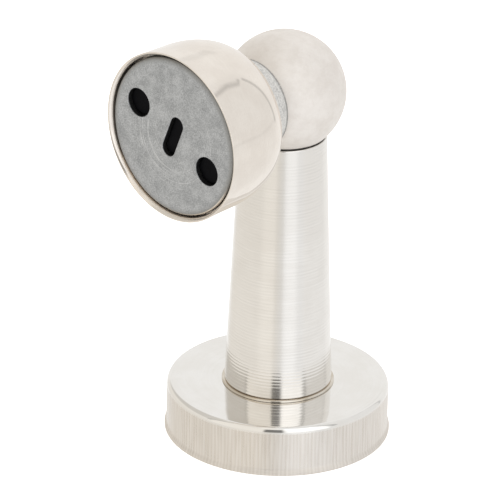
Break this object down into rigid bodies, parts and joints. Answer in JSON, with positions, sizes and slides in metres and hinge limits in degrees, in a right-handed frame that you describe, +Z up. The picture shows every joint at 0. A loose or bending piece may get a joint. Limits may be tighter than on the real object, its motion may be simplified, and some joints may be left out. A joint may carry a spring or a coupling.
{
  "type": "floor door holder",
  "caption": "Magnetic floor door holder: a round weighted base, a tapered post, and a ball-mounted swivelling cup that holds a sprung magnet behind a slotted steel face.",
  "frame": {"origin": "centre of the underside of the base, on the floor, under the post's axis", "axes": "+Z up along the post; at rest the magnet head looks along -Y; +X to the right of that view"},
  "size_m": [0.05, 0.0603, 0.1006],
  "materials": {
    "polished_steel": "polished stainless steel",
    "turned_steel": "turned stainless steel with fine rings",
    "satin_steel": "satin stainless steel",
    "collar_steel": "matte grey steel",
    "face_steel": "plain ground steel",
    "zinc_steel": "zinc-plated steel",
    "ferrite": "sintered ferrite, near black",
    "black_plastic": "black moulded plastic",
    "nylon": "dark nylon"
  },
  "bodies": {
    "base": {"floor_plate": "zinc_steel", "base_cover": "polished_steel", "centre_stud": "zinc_steel", "foot_ring": "polished_steel", "post_tube": "turned_steel", "foot_bush": "zinc_steel", "top_plug": "zinc_steel", "seat_ring": "nylon"},
    "head": {"ball": "satin_steel", "ball_bolt": "zinc_steel", "thrust_washer": "zinc_steel", "disc_spring": "zinc_steel", "neck_collar": "collar_steel", "magnet_cup": "polished_steel", "cup_screw": "zinc_steel", "lock_washer": "zinc_steel", "retaining_ring": "zinc_steel", "buffer_spring": "zinc_steel"},
    "magnet_pack": {"pole_plate": "face_steel", "magnet_carrier": "black_plastic", "ring_magnet": "ferrite", "back_plate": "zinc_steel"}
  },
  "joints": [
    {"name": "head_swivel", "type": "hinge", "parent": "base", "child": "head", "pos_m": [0, 0, 0.08155], "axis": [0, 0, 1], "continuous": true},
    {"name": "magnet_float", "type": "slide", "parent": "head", "child": "magnet_pack", "axis": [0, 1, 0], "range_m": [0, 0.0015], "stiffness_N_per_m": 2000, "springref_m": -0.002, "deforming": ["buffer_spring"]}
  ]
}
